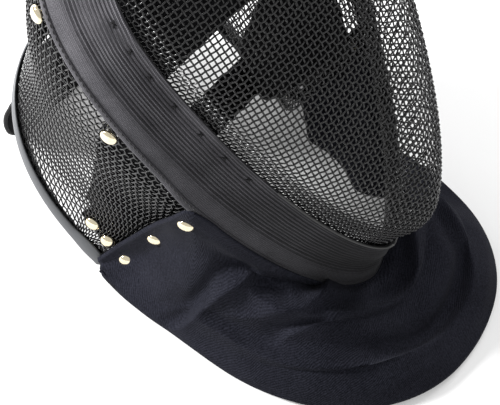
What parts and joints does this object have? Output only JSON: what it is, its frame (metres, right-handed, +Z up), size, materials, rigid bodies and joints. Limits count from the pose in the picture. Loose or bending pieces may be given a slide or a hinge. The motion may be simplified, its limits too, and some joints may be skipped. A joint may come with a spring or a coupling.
{
  "type": "fencing mask",
  "caption": "Fencing mask: woven wire cage with a seam band, padded cloth bib, edged rear opening, back strap and rear tongue, standing on its bib.",
  "frame": {"origin": "on the floor under the middle of the mask's bounding box, as it stands on its bib", "axes": "+Z up, -Y the way the mask faces, +X to the wearer's left"},
  "size_m": [0.1982, 0.3193, 0.2895],
  "materials": {
    "black_wire": "black painted crimped wire cloth",
    "webbing": "ribbed dark grey webbing",
    "bib_cloth": "padded navy black twill",
    "pad_cloth": "black padded lining",
    "elastic": "black woven elastic",
    "vinyl": "glossy dark vinyl edging",
    "brass": "polished pale brass"
  },
  "bodies": {
    "root": {"back_strap": "elastic", "bib": "bib_cloth", "cheek_pad_left": "pad_cloth", "cheek_pad_right": "pad_cloth", "crown_pad": "pad_cloth", "face_mesh": "black_wire", "rim_trim": "vinyl", "rivet_bib_front_left": "brass", "rivet_bib_front_right": "brass", "rivet_bib_middle_left": "brass", "rivet_bib_middle_right": "brass", "rivet_bib_rear_left": "brass", "rivet_bib_rear_right": "brass", "rivet_cheek_left": "brass", "rivet_cheek_right": "brass", "rivet_crown_left": "brass", "rivet_crown_right": "brass", "rivet_strap_lower_left": "brass", "rivet_strap_lower_right": "brass", "rivet_strap_upper_left": "brass", "rivet_strap_upper_right": "brass", "seam_band": "webbing", "side_mesh": "black_wire", "tongue": "pad_cloth"}
  },
  "joints": []
}
